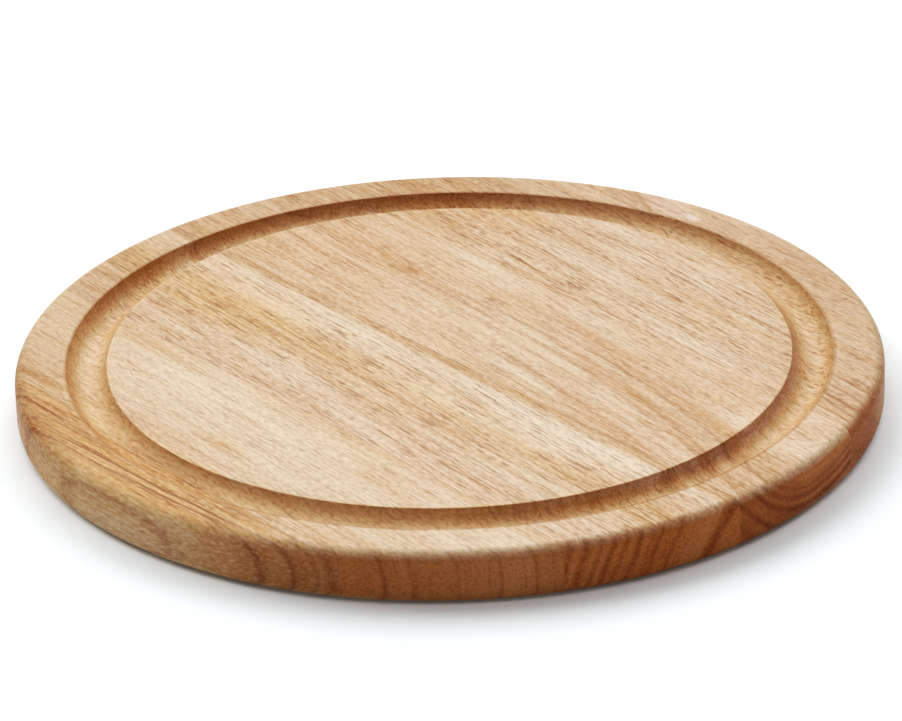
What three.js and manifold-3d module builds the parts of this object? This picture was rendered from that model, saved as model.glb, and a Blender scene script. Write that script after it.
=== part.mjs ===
// Round wooden pizza board: a disc turned from an edge-glued panel, with a
// routed juice groove near the rim.
//
// The blank is six straight-grained staves laid side by side and glued edge to
// edge. The glued panel is then turned as one piece, so every stave carries its
// own share of the rim, of the rounded edges and of the groove.
//
// Frame: millimetres, +Z up, origin at the centre of the underside. The grain
// and the glue lines run along X. The staves follow each other along Y, from
// stave_1 at +Y to stave_6 at -Y.

import * as THREE from "three";
import { mergeVertices } from "three/addons/utils/BufferGeometryUtils.js";
import Module from "manifold-3d";

// ---------------------------------------------------------------- dimensions

const BOARD_RADIUS = 160; // the disc is 320 mm across
const BOARD_THICKNESS = 20;
const TOP_EDGE_RADIUS = 4.5; // rounding between the serving face and the side
const BOTTOM_EDGE_RADIUS = 5; // rounding between the side and the underside

const GROOVE_INNER_RADIUS = 125.8; // inner lip of the juice groove
const GROOVE_OUTER_RADIUS = 141.6; // outer lip of the juice groove
const GROOVE_DEPTH = 5; // round bottom, cut with a core-box cutter
const GROOVE_LIP_RADIUS = 0.6; // both lips are eased by sanding

const GLUE_LINES_Y = [113.1, 60.8, -5.2, -71.5, -129.9]; // centre of each glue line
const GLUE_FILM = 0.15; // thickness of the cured glue between two staves
const GLUE_CLEARANCE = 0.02; // modelling gap on each side of a glue film

const TURN_SEGMENTS = 96; // facets around the disc
const EDGE_STEPS = 5; // facets across a rounded edge
const GROOVE_STEPS = 12; // facets across the groove
const LIP_STEPS = 2; // facets across an eased lip

// Finish of each piece: oiled pale hardwood, no two staves alike, and amber glue.
const STAVE_COLOURS = [
  0xd9b48c, 0xd8b68b, 0xd9b78d, 0xdfc095, 0xe6cda6, 0xcf9c63,
];
const STAVE_ROUGHNESS = 0.55;
const GLUE_COLOUR = 0xb98a52;
const GLUE_ROUGHNESS = 0.4;

// ------------------------------------------------------------------- profile

// Points of a circular arc about (cx, cz) from angle a0 to a1 in degrees.
function arc(cx, cz, radius, a0, a1, steps) {
  const points = [];
  for (let i = 0; i <= steps; i++) {
    const a = THREE.MathUtils.degToRad(a0 + ((a1 - a0) * i) / steps);
    points.push(
      new THREE.Vector2(cx + radius * Math.cos(a), cz + radius * Math.sin(a)),
    );
  }
  return points;
}

// Half section of the disc, from the axis at the underside, out round the rim,
// in over the groove and back to the axis at the serving face.
function boardProfile() {
  const top = BOARD_THICKNESS;
  const middle = (GROOVE_INNER_RADIUS + GROOVE_OUTER_RADIUS) / 2;
  const half = (GROOVE_OUTER_RADIUS - GROOVE_INNER_RADIUS) / 2;

  // The cutter's arc has its centre above the face. A lip is a small arc that
  // touches the face from below and the cutter's arc from outside, and it
  // starts at the lip radius given above.
  const lip = GROOVE_LIP_RADIUS;
  // Cutter radius g with depth d and the lip's centre at (half, -lip):
  // half^2 + (lip + g - d)^2 = (g + lip)^2
  const d = GROOVE_DEPTH;
  const cutter = (half * half + d * d - 2 * lip * d) / (2 * d);
  const centre = top - d + cutter;
  const lipAngle = THREE.MathUtils.radToDeg(
    Math.atan2(top - lip - centre, half),
  );

  const outline = [
    new THREE.Vector2(0, 0),
    ...arc(
      BOARD_RADIUS - BOTTOM_EDGE_RADIUS,
      BOTTOM_EDGE_RADIUS,
      BOTTOM_EDGE_RADIUS,
      -90,
      0,
      EDGE_STEPS,
    ),
    ...arc(
      BOARD_RADIUS - TOP_EDGE_RADIUS,
      top - TOP_EDGE_RADIUS,
      TOP_EDGE_RADIUS,
      0,
      90,
      EDGE_STEPS,
    ),
    ...arc(
      GROOVE_OUTER_RADIUS,
      top - lip,
      lip,
      90,
      180 + lipAngle,
      LIP_STEPS,
    ),
    ...arc(middle, centre, cutter, lipAngle, -180 - lipAngle, GROOVE_STEPS).slice(
      1,
      -1,
    ),
    ...arc(GROOVE_INNER_RADIUS, top - lip, lip, -lipAngle, 90, LIP_STEPS),
    new THREE.Vector2(0, top),
  ];
  return outline;
}

// ------------------------------------------------------------ solids and cuts

const wasm = await Module();
wasm.setup();

// A closed geometry as a solid that can be cut: only positions are kept, shared
// vertices are merged, and triangles that shrink to a line at the axis go.
function solidFrom(geometry) {
  const bare = geometry.clone();
  bare.deleteAttribute("normal");
  bare.deleteAttribute("uv");
  const merged = mergeVertices(bare, 1e-4);
  const index = merged.index.array;
  const position = merged.attributes.position;
  const kept = [];
  const a = new THREE.Vector3();
  const b = new THREE.Vector3();
  const c = new THREE.Vector3();
  let volume = 0;
  for (let i = 0; i < index.length; i += 3) {
    const [p, q, r] = [index[i], index[i + 1], index[i + 2]];
    if (p === q || q === r || r === p) continue;
    kept.push(p, q, r);
    a.fromBufferAttribute(position, p);
    b.fromBufferAttribute(position, q);
    c.fromBufferAttribute(position, r);
    volume += a.dot(b.cross(c)) / 6;
  }
  if (volume < 0)
    for (let i = 0; i < kept.length; i += 3)
      [kept[i + 1], kept[i + 2]] = [kept[i + 2], kept[i + 1]];
  return new wasm.Manifold(
    new wasm.Mesh({
      numProp: 3,
      vertProperties: new Float32Array(position.array),
      triVerts: new Uint32Array(kept),
    }),
  );
}

// A solid back as a geometry with flat-shaded normals.
function geometryFrom(solid) {
  const mesh = solid.getMesh();
  const stride = mesh.numProp;
  const positions = new Float32Array(mesh.numVert * 3);
  for (let i = 0; i < mesh.numVert; i++)
    positions.set(
      mesh.vertProperties.subarray(i * stride, i * stride + 3),
      i * 3,
    );
  const geometry = new THREE.BufferGeometry();
  geometry.setAttribute("position", new THREE.BufferAttribute(positions, 3));
  geometry.setIndex(new THREE.BufferAttribute(new Uint32Array(mesh.triVerts), 1));
  geometry.computeVertexNormals();
  return geometry;
}

// The turned disc, standing on its underside with its axis along Z.
function turnedDisc() {
  const lathe = new THREE.LatheGeometry(boardProfile(), TURN_SEGMENTS);
  lathe.rotateX(Math.PI / 2);
  return solidFrom(lathe);
}

// A slab across the whole disc between two values of Y.
function slab(low, high) {
  const size = 2.5 * BOARD_RADIUS;
  const box = new THREE.BoxGeometry(size, high - low, size);
  box.translate(0, (low + high) / 2, 0);
  return solidFrom(box);
}

// ------------------------------------------------------------------ the board

const disc = turnedDisc();
const board = new THREE.Group();
board.name = "pizza_board";

const halfGap = GLUE_FILM / 2 + GLUE_CLEARANCE;
const limits = [2 * BOARD_RADIUS, ...GLUE_LINES_Y, -2 * BOARD_RADIUS];

for (let i = 0; i + 1 < limits.length; i++) {
  const high = i === 0 ? limits[i] : limits[i] - halfGap;
  const low =
    i + 2 === limits.length ? limits[i + 1] : limits[i + 1] + halfGap;
  const stave = new THREE.Mesh(
    geometryFrom(disc.intersect(slab(low, high))),
    new THREE.MeshStandardMaterial({
      color: STAVE_COLOURS[i],
      roughness: STAVE_ROUGHNESS,
      metalness: 0,
    }),
  );
  stave.name = `stave_${i + 1}`;
  board.add(stave);
}

GLUE_LINES_Y.forEach((y, i) => {
  const film = new THREE.Mesh(
    geometryFrom(disc.intersect(slab(y - GLUE_FILM / 2, y + GLUE_FILM / 2))),
    new THREE.MeshStandardMaterial({
      color: GLUE_COLOUR,
      roughness: GLUE_ROUGHNESS,
      metalness: 0,
    }),
  );
  film.name = `glue_line_${i + 1}_${i + 2}`;
  board.add(film);
});

export default board;
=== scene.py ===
"""Round wooden pizza board: six glued staves with solid procedural wood, a pale floor and soft studio light."""

import math

import bmesh
import bpy
from mathutils import Matrix, Vector


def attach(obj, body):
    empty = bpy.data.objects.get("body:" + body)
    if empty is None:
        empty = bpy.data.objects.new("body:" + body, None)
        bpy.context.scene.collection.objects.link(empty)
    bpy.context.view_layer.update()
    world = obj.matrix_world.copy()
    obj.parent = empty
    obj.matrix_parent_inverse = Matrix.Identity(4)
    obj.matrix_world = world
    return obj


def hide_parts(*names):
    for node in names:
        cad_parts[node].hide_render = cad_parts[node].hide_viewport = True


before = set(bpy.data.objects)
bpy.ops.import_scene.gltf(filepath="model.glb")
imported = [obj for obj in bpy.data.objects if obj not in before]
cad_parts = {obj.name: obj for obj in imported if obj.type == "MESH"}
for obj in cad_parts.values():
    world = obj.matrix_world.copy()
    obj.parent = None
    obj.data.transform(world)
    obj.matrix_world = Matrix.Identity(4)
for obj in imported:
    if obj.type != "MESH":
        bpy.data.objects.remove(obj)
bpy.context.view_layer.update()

# ------------------------------------------------------------------ dimensions
# Millimetres here, metres in every mesh. The grain runs along X.
RADIUS, THICK = 160.0, 20.0
TOP_R, BOTTOM_R = 4.5, 5.0
GROOVE_IN, GROOVE_OUT, GROOVE_D, LIP_R = 125.8, 141.6, 5.0, 0.6
GLUE_Y = [113.1, 60.8, -5.2, -71.5, -129.9]
FILM, CLEAR = 0.15, 0.02
COLUMNS = 720
MM = 0.001


# -------------------------------------------------------------------- geometry
def arc(cx, cz, r, a0, a1, steps):
    out = []
    for i in range(steps + 1):
        a = math.radians(a0 + (a1 - a0) * i / steps)
        out.append((cx + r * math.cos(a), cz + r * math.sin(a)))
    return out


def profile():
    """Half section of the board from the underside, round the rim and over the groove to the serving face."""
    mid, half = (GROOVE_IN + GROOVE_OUT) / 2, (GROOVE_OUT - GROOVE_IN) / 2
    cutter = (half * half + GROOVE_D ** 2 - 2 * LIP_R * GROOVE_D) / (2 * GROOVE_D)
    centre = THICK - GROOVE_D + cutter
    lip = math.degrees(math.atan2(THICK - LIP_R - centre, half))
    pts = [(RADIUS - BOTTOM_R - 6.0, 0.0), (RADIUS - BOTTOM_R - 0.6, 0.0)]
    pts += arc(RADIUS - BOTTOM_R, BOTTOM_R, BOTTOM_R, -90, 0, 18)
    for k in (1, 2, 3):
        pts.append((RADIUS, BOTTOM_R + (THICK - TOP_R - BOTTOM_R) * k / 4))
    pts += arc(RADIUS - TOP_R, THICK - TOP_R, TOP_R, 0, 90, 18)
    a, b = RADIUS - TOP_R, GROOVE_OUT
    for k in (0.05, 0.35, 0.65, 0.95):
        pts.append((a + (b - a) * k, THICK))
    pts += arc(GROOVE_OUT, THICK - LIP_R, LIP_R, 90, 180 + lip, 8)
    pts += arc(mid, centre, cutter, lip, -180 - lip, 44)[1:-1]
    pts += arc(GROOVE_IN, THICK - LIP_R, LIP_R, -lip, 90, 8)
    pts += [(GROOVE_IN - 0.6, THICK), (GROOVE_IN - 6.0, THICK)]
    return pts


def turned_disc():
    """The whole board as one closed mesh, before it is parted into staves."""
    bm = bmesh.new()
    rings = []
    for r, z in profile():
        rings.append([
            bm.verts.new((
                r * MM * math.cos(2 * math.pi * i / COLUMNS),
                r * MM * math.sin(2 * math.pi * i / COLUMNS),
                z * MM,
            ))
            for i in range(COLUMNS)
        ])
    for low, high in zip(rings, rings[1:]):
        for i in range(COLUMNS):
            j = (i + 1) % COLUMNS
            bm.faces.new((low[i], low[j], high[j], high[i]))
    bm.faces.new(list(reversed(rings[0])))
    bm.faces.new(rings[-1])
    bmesh.ops.recalc_face_normals(bm, faces=bm.faces[:])
    return bm


def cut(bm, y, keep_above):
    """Keeps one side of the plane at Y and closes the cut with one flat face."""
    geom = bm.verts[:] + bm.edges[:] + bm.faces[:]
    done = bmesh.ops.bisect_plane(
        bm, geom=geom, dist=1e-7, plane_co=(0, y * MM, 0), plane_no=(0, 1, 0),
        clear_inner=keep_above, clear_outer=not keep_above,
    )
    rim = [e for e in done["geom_cut"] if isinstance(e, bmesh.types.BMEdge) and e.is_valid]
    made = bmesh.ops.contextual_create(bm, geom=rim)
    for e in rim:
        e.smooth = False
    for f in made["faces"]:
        f.smooth = False
    return made["faces"]


def piece(name, low, high):
    """The part of the board between two values of Y, as its own object."""
    bm = turned_disc()
    for f in bm.faces:
        f.smooth = True
    if high is not None:
        cut(bm, high, False)
    if low is not None:
        cut(bm, low, True)
    bmesh.ops.recalc_face_normals(bm, faces=bm.faces[:])
    bm.normal_update()
    mesh = bpy.data.meshes.new(name)
    bm.to_mesh(mesh)
    bm.free()
    obj = bpy.data.objects.new(name, mesh)
    bpy.context.scene.collection.objects.link(obj)
    return obj


# ------------------------------------------------------------- shader node kit
class S:
    """A float or vector socket that takes part in arithmetic, each step of it a Math node."""

    def __init__(self, tree, socket):
        self.tree, self.socket = tree, socket

    def op(self, kind, *others, clamp=False):
        node = self.tree.nodes.new("ShaderNodeMath")
        node.operation, node.use_clamp = kind, clamp
        for i, value in enumerate((self, *others)):
            if isinstance(value, S):
                self.tree.links.new(value.socket, node.inputs[i])
            else:
                node.inputs[i].default_value = value
        return S(self.tree, node.outputs[0])

    def __add__(self, o): return self.op("ADD", o)
    def __radd__(self, o): return self.op("ADD", o)
    def __sub__(self, o): return self.op("SUBTRACT", o)
    def __rsub__(self, o): return (self * -1.0) + o
    def __mul__(self, o): return self.op("MULTIPLY", o)
    def __rmul__(self, o): return self.op("MULTIPLY", o)
    def __truediv__(self, o): return self.op("DIVIDE", o)
    def __neg__(self): return self * -1.0
    def abs(self): return self.op("ABSOLUTE")
    def sqrt(self): return self.op("SQRT")
    def min(self, o): return self.op("MINIMUM", o)
    def max(self, o): return self.op("MAXIMUM", o)
    def pow(self, o): return self.op("POWER", o)
    def sin(self): return self.op("SINE")
    def clamp(self): return self.op("ADD", 0.0, clamp=True)

    def step(self, a, b):
        """Smooth step from 0 at a to 1 at b."""
        node = self.tree.nodes.new("ShaderNodeMapRange")
        node.interpolation_type = "SMOOTHSTEP"
        self.tree.links.new(self.socket, node.inputs["Value"])
        flip = a > b
        node.inputs["From Min"].default_value = b if flip else a
        node.inputs["From Max"].default_value = a if flip else b
        node.inputs["To Min"].default_value = 1.0 if flip else 0.0
        node.inputs["To Max"].default_value = 0.0 if flip else 1.0
        return S(self.tree, node.outputs["Result"])

    def bump(self, centre, width):
        """1 at centre, falling smoothly to 0 at a distance of width."""
        return (self - centre).abs().step(width, 0.0)


class Nodes:
    """Builds one material's node tree."""

    def __init__(self, name):
        self.material = bpy.data.materials.new(name)
        self.material.use_nodes = True
        self.tree = self.material.node_tree
        self.tree.nodes.clear()
        self.out = self.tree.nodes.new("ShaderNodeOutputMaterial")
        self.shader = self.tree.nodes.new("ShaderNodeBsdfPrincipled")
        self.tree.links.new(self.shader.outputs[0], self.out.inputs[0])

    def coords(self):
        node = self.tree.nodes.new("ShaderNodeTexCoord")
        return node.outputs["Object"], node.outputs["Normal"]

    def split(self, vector):
        node = self.tree.nodes.new("ShaderNodeSeparateXYZ")
        self.tree.links.new(vector, node.inputs[0])
        return [S(self.tree, o) for o in node.outputs]

    def join(self, x, y, z):
        node = self.tree.nodes.new("ShaderNodeCombineXYZ")
        for i, v in enumerate((x, y, z)):
            if isinstance(v, S):
                self.tree.links.new(v.socket, node.inputs[i])
            else:
                node.inputs[i].default_value = v
        return node.outputs[0]

    def noise(self, vector, scale=1.0, detail=2.0, rough=0.5, distortion=0.0):
        node = self.tree.nodes.new("ShaderNodeTexNoise")
        node.noise_dimensions = "3D"
        self.tree.links.new(vector, node.inputs["Vector"])
        node.inputs["Scale"].default_value = scale
        node.inputs["Detail"].default_value = detail
        node.inputs["Roughness"].default_value = rough
        node.inputs["Distortion"].default_value = distortion
        return S(self.tree, node.outputs["Fac"])

    def cells(self, vector, scale=1.0, randomness=1.0):
        node = self.tree.nodes.new("ShaderNodeTexVoronoi")
        node.voronoi_dimensions, node.feature = "3D", "F1"
        self.tree.links.new(vector, node.inputs["Vector"])
        node.inputs["Scale"].default_value = scale
        node.inputs["Randomness"].default_value = randomness
        shade = self.tree.nodes.new("ShaderNodeSeparateColor")
        self.tree.links.new(node.outputs["Color"], shade.inputs[0])
        return S(self.tree, node.outputs["Distance"]), S(self.tree, shade.outputs[0]), S(self.tree, shade.outputs[1])

    def ramp(self, fac, stops, kind="EASE"):
        node = self.tree.nodes.new("ShaderNodeValToRGB")
        node.color_ramp.interpolation = kind
        self.tree.links.new(fac.socket, node.inputs[0])
        elements = node.color_ramp.elements
        while len(elements) > 1:
            elements.remove(elements[-1])
        for i, (pos, colour) in enumerate(stops):
            e = elements[0] if i == 0 else elements.new(pos)
            e.position = pos
            e.color = (*colour, 1.0)
        return node.outputs[0]

    def gray(self, fac, stops):
        """A number that runs through (position, value) stops."""
        return self.red(self.ramp(fac, [(p, (v, v, v)) for p, v in stops], "LINEAR"))

    def red(self, colour):
        node = self.tree.nodes.new("ShaderNodeSeparateColor")
        self.tree.links.new(colour, node.inputs[0])
        return S(self.tree, node.outputs[0])

    def mix(self, fac, a, b, kind="MIX"):
        node = self.tree.nodes.new("ShaderNodeMix")
        node.data_type, node.blend_type, node.clamp_factor = "RGBA", kind, True
        for value, slot in ((fac, node.inputs[0]), (a, node.inputs[6]), (b, node.inputs[7])):
            if isinstance(value, S):
                self.tree.links.new(value.socket, slot)
            elif isinstance(value, bpy.types.NodeSocket):
                self.tree.links.new(value, slot)
            elif isinstance(value, (tuple, list)):
                slot.default_value = (*value, 1.0)
            else:
                slot.default_value = value
        return node.outputs[2]

    def finish(self, colour, rough, height, distance, sheen=0.0):
        p = self.shader
        self.tree.links.new(colour, p.inputs["Base Color"])
        self.tree.links.new(rough.socket, p.inputs["Roughness"])
        p.inputs["Specular IOR Level"].default_value = 0.2
        p.inputs["Sheen Weight"].default_value = sheen
        p.inputs["Sheen Roughness"].default_value = 0.25
        p.inputs["IOR"].default_value = 1.46
        bump = self.tree.nodes.new("ShaderNodeBump")
        bump.inputs["Strength"].default_value = 0.5
        bump.inputs["Distance"].default_value = distance
        self.tree.links.new(height.socket, bump.inputs["Height"])
        self.tree.links.new(bump.outputs[0], p.inputs["Normal"])
        return self.material


def srgb(r, g, b):
    """A colour given in screen values from 0 to 255, as linear numbers."""
    def one(c):
        c /= 255.0
        return c / 12.92 if c <= 0.04045 else ((c + 0.055) / 1.055) ** 2.4
    return (one(r), one(g), one(b))


# ------------------------------------------------------------------------ wood
TONE = (0.862, 0.847, 0.832)  # the colours below are as seen on the lit serving face; this turns them into the wood's own


def tone(*rgb):
    return tuple(t * c for t, c in zip(TONE, srgb(*rgb)))


def wood(name, seed, slope, axis, pith, drift, span, bands, lines, pore, streak, band=0.5, wave=1.0, spread=1.0, ends=(0.6, 1.0), oil=(0.70, 0.40, 0.22), crest=0.5, painted_veil=None, tint=None, spots=(), veins=(), curves=()):
    """Solid wood for one stave, from object coordinates, so that face, side and end grain belong together.

    slope   angle of the fibres to the glue lines, degrees, in the plane of the face
    axis    the same for the line of ring centres
    pith    (y, z) of the ring centre, mm; drift moves it along the grain; spread < 1 widens the rings towards +Y
    span    (first, last) distance from the ring centre that the two lists below cover, mm
    bands   [(distance, colour)]: slow change of colour from ring to ring
    lines   [(distance, half width, strength on the end, strength on the face)]: dark late-wood lines
    pore    (density, strength) of the vessel lines
    streak  contrast of the fibres; band, contrast of the fine growth bands; wave, how much the grain wanders
    ends    how much oil the left and the right end show; the paler of the two is painted sheen; oil, what it does to the colour
    dry     (y, y): painted reflection: the ends show less of the oil from the first to the second
    crest   share of that oil which the rounded top edge did not take
    tint    what the finish does to the colour of the face along the outer edge
    spots   [(x, y, length, width, colour, strength)]: knots and blotches on the figure; stave_1's small white one is a painted glint
    veins   [(x0, y0, x1, y1, width, colour, strength)]: single straight marks
    curves  [(x0, x1, a, b, c, width, colour, strength)]: late-wood lines on the face along y = a + b x + c x^2
    """
    n = Nodes(name)
    place, normal = n.coords()
    x, y, z = [v * 1000.0 for v in n.split(place)]
    nx, ny, nz = n.split(normal)

    # Grain axes: along (u), across (v) and height (z), with a slow wander.
    c, s = math.cos(math.radians(slope)), math.sin(math.radians(slope))
    u = x * c + y * s
    v0 = y * c - x * s
    slow = n.noise(n.join(u * (1 / 150.0) + seed, v0 * (1 / 40.0), z * (1 / 40.0)), 1.0, 2.0, 0.5)
    mid = n.noise(n.join(u * (1 / 45.0) + seed * 2, v0 * (1 / 10.0), z * (1 / 10.0)), 1.0, 2.0, 0.5)
    wander = (slow - 0.5) * (5.0 * wave) + (mid - 0.5) * (1.5 * wave)
    v = v0 + wander

    # Distance from the ring centre.
    dy, dz = drift(x)
    ca, sa = math.cos(math.radians(axis)), math.sin(math.radians(axis))
    ry, rz = y * ca - x * sa + wander - (dy + pith[0]), z + wander * 0.4 - (dz + pith[1])
    if spread != 1.0:
        ry = ry.min(0.0) + ry.max(0.0) * spread
    ring = (ry * ry + rz * rz).sqrt()
    first, last = span
    t = ((ring - first) * (1.0 / (last - first))).clamp()
    col = n.ramp(t, [((r - first) / (last - first), tone(*rgb)) for r, rgb in bands])

    # How far the surface turns across the grain, and the groove's own walls.
    radius = (x * x + y * y).sqrt()
    groove = radius.step(GROOVE_IN - 1.6, GROOVE_IN - 0.4) * radius.step(GROOVE_OUT + 1.6, GROOVE_OUT + 0.4) * z.step(5.0, 10.0)
    lean = (nx * nx + ny * ny).sqrt()
    end = (nx * c + ny * s).abs()
    cross = end.step(0.16, 0.70)
    turned = lean.step(0.55, 0.9) * (1.0 - groove)

    # Cloudy change of colour along the stave, golden to pale.
    cloud = n.noise(n.join(u * (1 / 85.0) + seed * 3, v * (1 / 13.0), z * (1 / 13.0)), 1.0, 3.0, 0.55)
    col = n.mix((cloud - 0.5) * 1.5, col, tone(212, 168, 112))
    col = n.mix((0.5 - cloud) * 1.5, col, tone(236, 218, 196))

    for sx, sy, length, width, colour, power in spots:
        away = (((x - sx) * (1 / length)).pow(2.0) + ((y - sy + wander * 0.25) * (1 / width)).pow(2.0)).sqrt()
        col = n.mix(away.step(1.0, 0.1) * power, col, tone(*colour))

    # Growth bands follow the rings: long streaks on the face, arcs on the end.
    grow = n.noise(n.join(u * (1 / 150.0) + seed * 4, ring * (1 / 4.4), (v + z * 0.7) * (1 / 60.0)), 1.0, 3.0, 0.6)
    fine = n.noise(n.join(u * (1 / 240.0) + seed * 5, ring * (1 / 1.05), (v - z * 0.7) * (1 / 60.0)), 1.0, 2.0, 0.6)
    col = n.mix((grow - 0.5) * (1.0 - turned * 0.45) * (2.2 * band), col, tone(204, 156, 98))
    col = n.mix((0.5 - grow) * (1.0 - turned * 0.6) * (2.0 * band), col, tone(240, 223, 200))
    col = n.mix((fine - 0.5) * (cross * 1.6 + band * 0.6), col, tone(180, 126, 76))

    # Fibres: streaks from pencil-wide to hair-fine.
    fibre = n.noise(n.join(u * (1 / 75.0) + seed * 6, v * (1 / 3.0), z * (1 / 3.0)), 1.0, 2.0, 0.55)
    hair = n.noise(n.join(u * (1 / 30.0) + seed * 7, v * (1 / 1.1), z * (1 / 1.1)), 1.0, 1.0, 0.5)

    def late(column):
        stops = [(0.0, 0.0)]
        for line in sorted(lines):
            r, w = line[0], line[1]
            p0, p1, p2 = [(q - first) / (last - first) for q in (r - w, r, r + w)]
            stops += [(max(p0, stops[-1][0]), 0.0), (p1, line[column]), (p2, 0.0)]
        return n.gray(t, stops)

    dark = late(2) * cross * (1.0 - groove * 0.6) * (mid * 0.8 + 0.6) + late(3) * (1.0 - cross) * ((fibre * 1.2 + 0.4) * (1.0 - turned) + turned * 0.8)
    col = n.mix(dark, col, tone(156, 98, 48))
    for x0, x1, a, b, k, width, colour, power in curves:
        off = (y - (x * x * k + x * b + a) + (mid - 0.5) * 1.6).abs()
        fade = x.step(x0 - 15.0, x0 + 15.0) * x.step(x1 + 8.0, x1 - 8.0)
        col = n.mix(off.step(width, width * 0.1) * fade * power * (fibre * 1.0 + 0.5), col, tone(*colour))

    calm = 1.0 - turned * 0.5 - groove * lean * 0.5
    col = n.mix((fibre - 0.5) * calm * (2.4 * streak), col, tone(198, 148, 92))
    col = n.mix((0.5 - fibre) * calm * (2.4 * streak), col, tone(243, 228, 206))
    col = n.mix((hair - 0.5) * calm * (2.8 * streak), col, tone(157, 116, 81))
    col = n.mix((0.5 - hair) * calm * (2.4 * streak), col, tone(247, 234, 215))

    # Vessels: dashes along the grain on a face, dots on an end; thicker where the growth band is open.
    density, strength = pore
    patch = n.noise(n.join(u * (1 / 60.0) + seed * 8, v * (1 / 6.0), z * (1 / 6.0)), 1.0, 2.0, 0.5)
    col = n.mix((patch - 0.46) * (1.0 - turned) * (2.6 * strength), col, tone(216, 172, 124))
    shift = (grow - 0.5) * 0.16 + (patch - 0.5) * 0.18 + (density - 0.5) * 0.16
    long = n.noise(n.join(u * (1 / 16.0) + seed * 9, v * (1 / 0.95), z * (1 / 0.95)), 1.0, 1.0, 0.5) + shift
    short = n.noise(n.join(u * (1 / 7.0) + seed * 10, v * (1 / 0.8), z * (1 / 0.8)), 1.0, 1.0, 0.5) + shift
    vessel = (long.step(0.59, 0.70) + short.step(0.61, 0.72) * 0.9).min(1.0)
    col = n.mix(vessel * (1.0 - cross * 0.65) * (1.0 - turned * 0.5) * (1.15 * strength), col, tone(151, 102, 65))
    speck = n.noise(n.join(u * (1 / 3.2) + seed * 11, v * (1 / 0.95), z * (1 / 0.95)), 1.0, 1.0, 0.5)
    col = n.mix((speck - 0.5) * 1.25, col, tone(152, 117, 88))
    col = n.mix((0.5 - speck) * 1.25, col, tone(250, 234, 212))

    for x0, y0, x1, y1, width, colour, power in veins:
        along = math.hypot(x1 - x0, y1 - y0)
        ex, ey = (x1 - x0) / along, (y1 - y0) / along
        go = (x - x0) * ex + (y - y0) * ey
        off = (y - y0) * ex - (x - x0) * ey + (mid - 0.5) * 2.0
        fade = go.step(-0.12 * along, 0.12 * along) * go.step(1.12 * along, 0.88 * along)
        col = n.mix(off.abs().step(width, width * 0.25) * fade * power * (fibre * 0.8 + 0.6), col, tone(*colour))

    if tint:
        col = n.mix((y + x * 0.12).step(-126.0, -146.0) * (1.0 - turned) * (1.0 - groove * 0.6), col, tint, "MULTIPLY")
    # One end of the board has darkened.
    col = n.mix(x.step(-20.0, -140.0) * (1.0 - turned) * (1.0 - groove * 0.6), col, (0.955, 0.915, 0.85), "MULTIPLY")

    # End grain drinks the oil: deeper and redder, less so on the rounded top edge. Where one end takes less than the
    # other, the paler end is painted sheen.
    end_oil_and_sheen = n.mix(nx.step(-0.05, 0.05), (ends[0],) * 3, (ends[1],) * 3)
    oil_and_painted_sheen = n.red(end_oil_and_sheen) * cross * (1.0 - groove) * (1.0 - nz.step(0.25, 0.9) * crest)
    # Painted reflection: towards +Y the ends show less of the oil, paler and greyer.
    if painted_veil:
        oil_and_painted_sheen = oil_and_painted_sheen * (1.0 - y.step(*painted_veil) * 0.55)
    col = n.mix(oil_and_painted_sheen, col, oil, "MULTIPLY")
    # Painted shade in the groove: the walls darken and redden as they steepen, with a paler ramp on the walls that face
    # the lights and a deeper one on those that face away.
    smooth = n.ramp(lean, [
        (0.0, (0.98, 0.94, 0.86)), (0.17, (0.98, 0.94, 0.87)), (0.34, (0.98, 0.935, 0.86)), (0.47, (0.98, 0.92, 0.83)),
        (0.59, (0.97, 0.90, 0.78)), (0.71, (0.92, 0.83, 0.69)), (0.92, (0.89, 0.76, 0.60)),
    ], "LINEAR")
    shaded_side_wall_shade = n.ramp(lean, [
        (0.0, (0.98, 0.94, 0.86)), (0.17, (0.97, 0.91, 0.80)), (0.34, (0.96, 0.87, 0.73)), (0.47, (0.94, 0.81, 0.64)),
        (0.59, (0.92, 0.75, 0.56)), (0.71, (0.92, 0.72, 0.52)), (0.92, (0.95, 0.71, 0.49)),
    ], "LINEAR")
    painted_wall_shade = n.mix((nx * 0.643 + ny * 0.766).step(-0.75, 0.6), smooth, shaded_side_wall_shade)
    # The walls that face the back, towards the lights, get a lighter painted shade instead.
    clear = (ny * 0.643 - nx * 0.766 - nz * 0.483).step(0.02, 0.20)
    painted_wall_shade = n.mix(clear, painted_wall_shade, (0.96, 0.88, 0.765))
    col = n.mix(groove, col, painted_wall_shade, "MULTIPLY")
    # Painted shade: the groove is darkened at its front, outward of the inner wall where the inner lip's shadow falls,
    # and at its back, over the outer half that faces away from the lights.
    ahead = (x * 0.906 - y * 0.423) / radius
    col = n.mix(ahead.step(0.6, 0.98) * radius.step(GROOVE_IN + 0.8, GROOVE_IN + 2.4) * groove * (1.0 - clear * 0.8), col, (0.86, 0.79, 0.70), "MULTIPLY")
    col = n.mix(ahead.step(-0.35, -0.95) * radius.step(GROOVE_IN + 3.5, GROOVE_IN + 8.5) * groove, col, (0.905, 0.88, 0.88), "MULTIPLY")
    # Walls that cut across the grain are made a little deeper in colour.
    col = n.mix((end * (1 / 0.7)).min(1.0) * groove, col, (0.99, 0.94, 0.88), "MULTIPLY")
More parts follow.
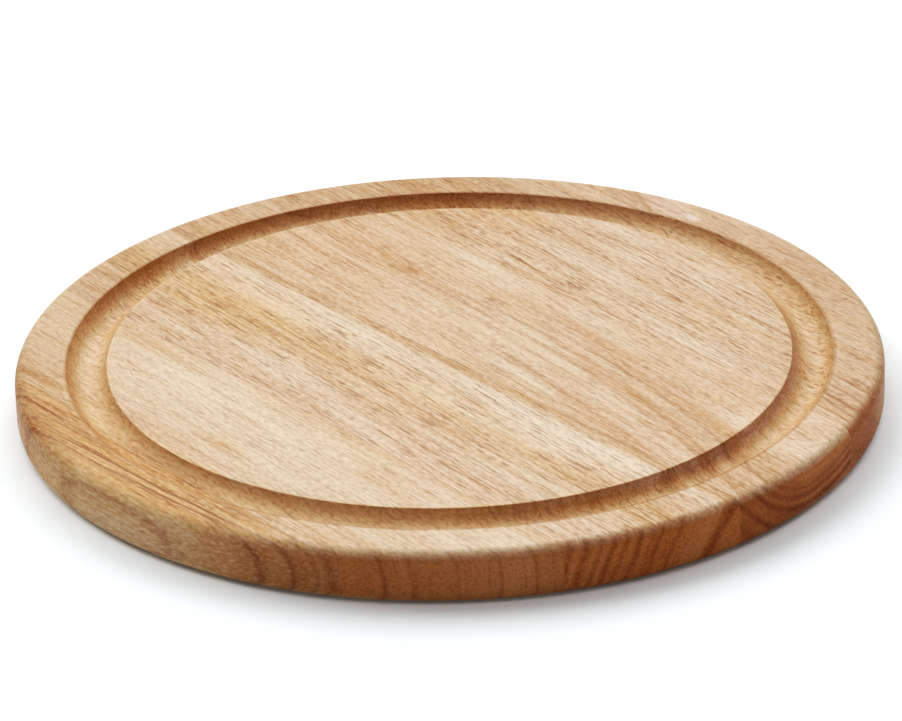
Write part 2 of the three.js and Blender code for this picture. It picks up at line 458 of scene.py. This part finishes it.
    # The inner wall at one end is made greyer and bluer, and the outer wall is made a little paler at another.
    col = n.mix((nx * 0.906 + ny * 0.423).step(0.42, 0.74) * radius.step(135.5, 132.5) * groove, col, (0.965, 1.08, 1.48), "MULTIPLY")
    col = n.mix(((x * -0.342 - y * 0.94) / radius).step(0.80, 0.96) * radius.step(134.0, 138.0) * groove, col, (1.05, 1.11, 1.20), "MULTIPLY")
    col = n.mix(((x * -0.087 - y * 0.996) / radius).step(0.85, 0.97) * radius.step(130.0, 136.0) * groove, col, (1.06, 1.10, 1.12), "MULTIPLY")
    # Painted light and shade on the rim: it is darkened except at the front, and a thin dark line of painted shade runs
    # along its inner edge, where the groove's wall drops steeply.
    front_rim_lit = (x * 0.766 - y * 0.643).step(-40.0, 115.0)
    rim = radius.step(GROOVE_OUT - 0.5, GROOVE_OUT + 2.0)
    col = n.mix(rim * (1.0 - front_rim_lit * 0.8), col, (0.91, 0.87, 0.82), "MULTIPLY")
    col = n.mix(radius.bump(GROOVE_OUT + 0.1, 0.9) * z.step(18.0, 19.4) * (mid * 0.5 + 0.2), col, tone(160, 106, 62))

    # A stretch of the top edge is darkened.
    edge_darkening = ((x * -0.423 - y * 0.906) / radius).step(0.93, 0.985) * radius.step(154.5, 157.0) * z.step(10.5, 14.0)
    col = n.mix(edge_darkening, col, (0.86, 0.81, 0.75), "MULTIPLY")

    # Wear and painted highlight: the inner lip and the top edge are rubbed pale in places, which also stands in for the
    # light they catch.
    rub = n.noise(n.join(x, y, z), 0.11, 3.0, 0.6)
    lips = radius.bump(GROOVE_IN - 0.3, 0.9) * z.step(18.6, 19.7)
    edge = radius.bump(RADIUS - 2.2, 2.6) * z.step(14.0, 17.5)
    wear_and_highlight = lips.max(edge * 0.7) * rub.step(0.35, 0.7)
    col = n.mix(wear_and_highlight * 0.28, col, tone(240, 218, 186))

    rough = (hair - 0.5) * 0.16 + vessel * 0.14 + cross * 0.10 - wear_and_highlight * 0.08 + 0.48
    height = (hair - 0.5) * 0.45 - vessel * 0.9 + (fibre - 0.5) * 0.3 - dark * 0.2
    return n.finish(col, rough, height, 0.00010, 0.15)


def glue(name):
    """Cured glue, amber, a little cloudy along its length and darker on the end grain."""
    n = Nodes(name)
    place, normal = n.coords()
    x, y, z = [v * 1000.0 for v in n.split(place)]
    nx, ny, nz = n.split(normal)
    cloud = n.noise(n.join(x * (1 / 9.0), y * (1 / 2.0), z * (1 / 2.0)), 1.0, 3.0, 0.5)
    grit = n.noise(n.join(x, y, z), 2.2, 2.0, 0.5)
    col = n.ramp(cloud, [(0.25, tone(184, 140, 98)), (0.75, tone(212, 176, 134))])
    col = n.mix(nx.abs().step(0.14, 0.62), col, (0.85, 0.45, 0.26), "MULTIPLY")
    rough = grit * 0.2 + 0.35
    return n.finish(col, rough, grit, 0.00004)


def still(x):
    return x * 0.0, x * 0.0


def dipping(x):
    """The ring centre comes down towards the face at one end, which bends the lines on it."""
    return x * 0.0, x.step(-10.0, 210.0) * -21.0


def bowed(x):
    """The ring centre swings across the grain, which bows the lines on the face."""
    return x * x * 0.0005 + x * 0.02, x * 0.0


WOODS = {
    "stave_1": dict(
        seed=1.3, slope=-3.0, axis=-3.0, pith=(190.0, 62.0), drift=still, span=(30.0, 100.0),
        bands=[(30, (216, 186, 154)), (55, (224, 197, 168)), (66, (218, 187, 154)), (85, (223, 196, 166)), (100, (216, 186, 152))],
        lines=[(48, 2.0, 0.4, 0.12), (71, 2.0, 0.45, 0.12), (83, 1.5, 0.4, 0.1)],
        pore=(0.42, 0.45), streak=0.42, band=0.35, ends=(0.6, 0.5), oil=(0.79, 0.43, 0.245),
        # The small white spot at (-24, 144.5) is a painted glint.
        spots=[(-36, 145, 19, 11, (236, 216, 196), 0.9), (-24, 144.5, 7, 3.4, (250, 243, 238), 0.9), (-5, 144, 17, 8, (204, 162, 126), 0.6), (70, 135.5, 2.2, 1.6, (146, 92, 52), 0.7), (34, 149, 42, 13, (208, 172, 138), 0.7)],
        veins=[(-60, 147, -39, 137, 1.5, (190, 142, 100), 0.55)]),
    "stave_2": dict(
        seed=5.7, slope=-4.0, axis=-3.0, pith=(20.0, -90.0), drift=still, span=(90.0, 150.0),
        bands=[(90, (220, 191, 158)), (105, (224, 198, 168)), (117, (219, 189, 155)), (132, (221, 194, 164)), (150, (218, 188, 156))],
        lines=[(101, 1.2, 0.4, 0.15), (112, 1.2, 0.4, 0.15), (124, 1.2, 0.4, 0.15), (138, 1.2, 0.4, 0.15)],
        pore=(0.56, 0.54), streak=0.50, band=0.40, ends=(0.6, 1.0), oil=(0.68, 0.37, 0.165), crest=0.05, painted_veil=(78.0, 112.0),
        spots=[(-100, 88, 70, 27, (208, 160, 106), 0.8), (-74, 99, 26, 8, (218, 178, 114), 0.6), (60, 72, 70, 12, (228, 206, 180), 0.6), (-50, 67, 18, 6, (234, 212, 186), 0.7), (-43, 65, 5, 1.8, (190, 132, 96), 0.55), (-8, 69, 5, 2.0, (180, 120, 82), 0.4), (137, 74, 26, 24, (204, 163, 126), 0.65)],
        veins=[(108, 87.5, 131, 85.5, 0.9, (176, 126, 88), 0.6), (116, 80.5, 136, 78.5, 1.1, (174, 124, 86), 0.65), (121, 74.5, 139, 72.0, 1.2, (168, 118, 80), 0.75), (125, 70.5, 142, 68.0, 0.9, (174, 124, 86), 0.65), (130, 66.0, 144, 64.2, 0.9, (178, 128, 90), 0.55)]),
    "stave_3": dict(
        seed=9.1, slope=-4.0, axis=-4.0, spread=0.45, pith=(43.8, 61.0), drift=dipping, span=(20.0, 75.0),
        bands=[(20, (240, 220, 196)), (27, (236, 213, 186)), (31, (221, 192, 160)), (49, (223, 195, 163)), (60, (223, 194, 160)), (66, (222, 192, 158)), (75, (217, 184, 146))],
        lines=[(31.5, 1.2, 0.5, 0.0), (34.5, 1.5, 0.75, 0.0), (38.5, 1.8, 0.9, 0.0), (45.5, 2.0, 0.9, 0.1), (51.0, 1.3, 0.5, 0.1), (56, 1.0, 0.35, 0.15)],
        pore=(0.46, 0.40), streak=0.40, band=0.7, oil=(0.72, 0.395, 0.19), crest=0.85,
        spots=[(-63, 35, 11, 6, (190, 136, 88), 0.8), (-62, 34.5, 5, 3, (168, 112, 66), 0.8), (-84, 36, 30, 7, (206, 160, 112), 0.5), (30, 5, 40, 6, (236, 217, 194), 0.7), (-92, 30, 72, 36, (216, 172, 128), 0.6), (118, 24, 34, 10, (208, 168, 128), 0.5), (149, 20, 18, 15, (196, 150, 110), 0.6), (151, 2, 16, 9, (200, 154, 110), 0.55), (144, 53, 22, 10, (234, 211, 184), 0.8)],
        curves=[(-40, 160, 34.0, -0.03, -0.00128, 2.2, (188, 140, 98), 0.6), (-60, 160, 29.0, -0.07, -0.00078, 2.0, (186, 138, 96), 0.6), (10, 160, 14.5, -0.115, -0.0004, 2.1, (186, 138, 96), 0.6), (40, 160, 32.0, -0.05, -0.00095, 5.5, (204, 158, 112), 0.7), (60, 160, 13.0, -0.115, -0.0004, 5.5, (206, 162, 116), 0.65),
                (-30, 160, 45.5, -0.05, -0.0009, 6.5, (204, 158, 112), 0.75), (10, 160, 39.5, -0.03, -0.0010, 1.6, (182, 130, 84), 0.6), (70, 160, 27.5, 0.03, -0.00128, 1.4, (184, 132, 86), 0.5),
                (120, 149, -224.7, 3.96, -0.016, 1.2, (160, 108, 66), 0.55), (128, 149, -214.7, 3.96, -0.016, 1.1, (166, 114, 72), 0.45), (120, 149, -234.2, 3.96, -0.016, 1.2, (162, 110, 68), 0.45)]),
    "stave_4": dict(
        seed=14.2, slope=-4.5, axis=0.0, pith=(25.0, -20.0), drift=still, span=(40.0, 108.0),
        bands=[(40, (232, 206, 172)), (47, (226, 196, 158)), (50, (210, 172, 126)), (52.4, (214, 180, 138)), (54.2, (236, 218, 196)), (60, (233, 213, 188)), (64, (228, 202, 168)), (69, (222, 190, 146)), (74, (220, 186, 141)), (78, (225, 195, 158)), (84, (225, 197, 163)), (89, (226, 200, 171)), (95, (229, 205, 178)), (100, (227, 201, 173)), (108, (222, 192, 160))],
        lines=[(50, 3.2, 0.6, 0.25), (66, 1.3, 0.5, 0.1), (72.4, 1.4, 0.55, 0.15), (75.4, 0.9, 0.3, 0.4), (79.3, 1.8, 0.65, 0.15), (84, 1.6, 0.45, 0.15), (88, 2.0, 0.6, 0.15), (92, 1.8, 0.5, 0.12), (96, 2.0, 0.6, 0.1), (101, 2.2, 0.55, 0.15)],
        pore=(0.58, 0.50), streak=0.47, band=0.42, ends=(0.6, 1.0), oil=(0.765, 0.412, 0.205),
        spots=[(-88, -37, 85, 22, (222, 180, 122), 0.7), (85, -24, 62, 13, (241, 223, 200), 0.75), (148, -30, 14, 30, (206, 164, 122), 0.6)]),
    "stave_5": dict(
        seed=19.6, slope=-3.5, axis=-1.0, pith=(-260.0, 0.0), drift=still, span=(125.0, 195.0),
        bands=[(125, (220, 186, 142)), (135, (222, 190, 150)), (142, (221, 193, 160)), (148, (226, 201, 172)), (157, (227, 203, 172)), (163, (231, 209, 182)), (172, (234, 214, 190)), (178, (234, 214, 189)), (183, (232, 210, 182)), (188, (226, 199, 166)), (195, (220, 189, 152))],
        lines=[(131.5, 1.0, 0.55, 0.3), (142, 1.2, 0.5, 0.2), (149, 1.0, 0.35, 0.1), (160, 1.0, 0.3, 0.1), (171, 1.0, 0.35, 0.05), (182, 1.0, 0.35, 0.1)],
        pore=(0.40, 0.32), streak=0.32, band=0.34,
        spots=[(3, -109.5, 5, 3.4, (204, 154, 90), 0.8), (5, -108, 14, 6, (226, 192, 140), 0.5), (-95, -78, 62, 10, (212, 176, 126), 0.6), (-88, -124, 30, 4.0, (190, 134, 70), 0.8)]),
    "stave_6": dict(
        seed=23.4, slope=-1.0, axis=0.0, wave=0.55, pith=(-186.0, 7.0), drift=bowed, span=(15.0, 62.0),
        bands=[(15, (214, 184, 150)), (24, (214, 182, 144)), (29, (208, 168, 120)), (34, (208, 166, 114)), (38, (204, 158, 104)), (43, (212, 172, 122)), (47, (208, 164, 112)), (50, (202, 152, 98)), (54, (210, 168, 118)), (62, (214, 176, 128))],
        lines=[(28.4, 0.9, 0.55, 0.6), (38, 1.2, 0.75, 0.85), (42.4, 1.1, 0.8, 0.8), (46.0, 0.8, 0.4, 0.4), (48.5, 1.4, 0.6, 0.4), (51.5, 3.0, 0.6, 0.2), (55.0, 1.4, 0.6, 0.4)],
        pore=(0.50, 0.50), streak=0.42, band=0.5, ends=(0.35, 1.0), oil=(0.685, 0.40, 0.22), tint=(0.98, 0.90, 0.735),
        spots=[(-62, -147, 26, 8, (188, 128, 68), 0.55), (75, -132, 45, 7, (232, 208, 172), 0.6), (-72, -132.5, 28, 3.6, (238, 208, 168), 0.65), (-12, -143, 46, 4.0, (234, 202, 156), 0.45)],
        veins=[(-45, -147.3, 56, -144.6, 0.8, (150, 98, 54), 0.7), (-8, -150.0, 54, -147.2, 0.8, (146, 94, 50), 0.75), (-62, -141.5, 8, -139.6, 0.8, (160, 106, 60), 0.5), (-92, -136.6, -52, -138.4, 0.9, (150, 98, 52), 0.65)]),
}

# --------------------------------------------------------------------- pieces
limits = [None, *GLUE_Y, None]
gap = FILM / 2 + CLEAR
for i in range(6):
    node = f"stave_{i + 1}"
    high = None if limits[i] is None else limits[i] - gap
    low = None if limits[i + 1] is None else limits[i + 1] + gap
    obj = piece(f"{node}_wood", low, high)
    obj.data.materials.append(wood(f"{node}_grain", **WOODS[node]))
    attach(obj, "root")
    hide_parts(node)

amber = glue("glue_film")
for i, y in enumerate(GLUE_Y):
    node = f"glue_line_{i + 1}_{i + 2}"
    obj = piece(f"{node}_film", y - FILM / 2, y + FILM / 2)
    obj.data.materials.append(amber)
    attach(obj, "root")
    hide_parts(node)

# ---------------------------------------------------------------------- stage
TURN = math.radians(50.0)  # the photo's right-hand direction lies this far from the grain


def from_view(x, y, z):
    """A point given as right, away and up of the viewer, in the board's frame, in metres."""
    return Vector((x * math.cos(TURN) - y * math.sin(TURN), x * math.sin(TURN) + y * math.cos(TURN), z))


def floor_material():
    n = Nodes("floor_paper")
    place, _ = n.coords()
    x, y, z = n.split(place)
    soft = n.noise(n.join(x, y, z), 40.0, 2.0, 0.5)
    col = n.ramp(soft, [(0.3, (0.91, 0.95, 0.975)), (0.7, (0.925, 0.965, 0.985))])
    # A table lit faintly from below, which keeps the shadow open.
    n.shader.inputs["Emission Color"].default_value = (0.85, 0.95, 1.0, 1.0)
    n.shader.inputs["Emission Strength"].default_value = 0.045
    return n.finish(col, soft * 0.1 + 0.75, soft, 0.00002)


bm = bmesh.new()
bmesh.ops.create_grid(bm, x_segments=8, y_segments=8, size=6.0)
floor_mesh = bpy.data.meshes.new("floor")
bm.to_mesh(floor_mesh)
bm.free()
floor = bpy.data.objects.new("floor", floor_mesh)
floor.location = (0, 0, -0.0002)
floor.data.materials.append(floor_material())
bpy.context.scene.collection.objects.link(floor)


def area(name, at, aim, size, power, colour=(1, 1, 1)):
    light = bpy.data.lights.new(name, "AREA")
    light.shape, light.size, light.energy, light.color = "DISK", size, power, colour
    obj = bpy.data.objects.new(name, light)
    bpy.context.scene.collection.objects.link(obj)
    obj.location = at
    obj.rotation_mode = "QUATERNION"
    obj.rotation_quaternion = (aim - at).to_track_quat("-Z", "Y")
    return obj


# One wide bank of soft boxes stands behind the board and reaches round to the left.
FAR = 20.0


def soft_box(name, azimuth, elevation, power, size=0.59):
    a, e = math.radians(azimuth), math.radians(elevation)
    at = from_view(math.cos(e) * math.cos(a), math.cos(e) * math.sin(a), math.sin(e)) * FAR
    return area(name, at, Vector((0, 0, 0)), size * FAR, power * FAR * FAR / 4.84)


soft_box("back_left", 130, 44, 30.4, 1.0)
soft_box("back_right", 50, 44, 21.2, 1.0)
soft_box("left", 160, 44, 8.9)
soft_box("left_low", 200, 30, 2.4)
soft_box("back_low", 90, 25, 6.8)
soft_box("back_high", 90, 45, 5.2)
soft_box("right_low", 340, 30, 1.5)
soft_box("front", 280, 68, 8.4)

world = bpy.data.worlds.new("studio")
bpy.context.scene.world = world
world.use_nodes = True
back = world.node_tree.nodes["Background"]
back.inputs["Color"].default_value = (1.0, 1.0, 1.0, 1.0)
back.inputs["Strength"].default_value = 0.10

# --------------------------------------------------------------------- camera
# The camera was worked out from the outline and the groove: elevation, distance
# in board radii, focal length in pixels of a 902 x 721 frame, roll, and where
# the middle of the serving face falls.
ELEV, DIST, FOCAL, ROLL = math.radians(25.820), 11.269, 4894.2, math.radians(1.615)
MIDDLE, FRAME = (449.22, 348.73), (902, 721)

eye = Vector((0, -DIST * math.cos(ELEV), DIST * math.sin(ELEV))) * (RADIUS * MM)
forward = -eye.normalized()
right = Vector((1, 0, 0))
up = right.cross(forward)
axes = Matrix((right, up, forward))
roll = Matrix.Rotation(ROLL, 3, "Z")
aim = Vector(((MIDDLE[0] - FRAME[0] / 2) / FOCAL, -(MIDDLE[1] - FRAME[1] / 2) / FOCAL, 1.0)).normalized()
swing = Vector((0, 0, 1)).rotation_difference(aim).to_matrix()
axes = swing @ roll @ axes
turn = Matrix.Rotation(TURN, 3, "Z")
columns = [turn @ Vector(axes[0]), turn @ Vector(axes[1]), -(turn @ Vector(axes[2]))]
cam_data = bpy.data.cameras.new("camera")
cam_data.sensor_width = 36.0
cam_data.lens = 36.0 * FOCAL / FRAME[0]
cam_data.clip_end = 50.0
cam = bpy.data.objects.new("camera", cam_data)
bpy.context.scene.collection.objects.link(cam)
at = turn @ eye + Vector((0, 0, THICK * MM))
cam.matrix_world = Matrix((
    (columns[0][0], columns[1][0], columns[2][0], at[0]),
    (columns[0][1], columns[1][1], columns[2][1], at[1]),
    (columns[0][2], columns[1][2], columns[2][2], at[2]),
    (0, 0, 0, 1),
))
bpy.context.scene.camera = cam

view = bpy.context.scene.view_settings
view.view_transform = "Standard"
view.look = "None"
view.exposure = 0.0
# Film response: straight in the lights, with a deeper toe in the shade.
view.use_curve_mapping = True
film = view.curve_mapping
for shown, wanted in ((20, 7), (40, 20), (60, 38), (90, 70), (115, 99), (135, 126), (160, 159), (200, 203), (225, 227)):
    film.curves[3].points.new(srgb(shown, 0, 0)[0], srgb(wanted, 0, 0)[0])
film.update()
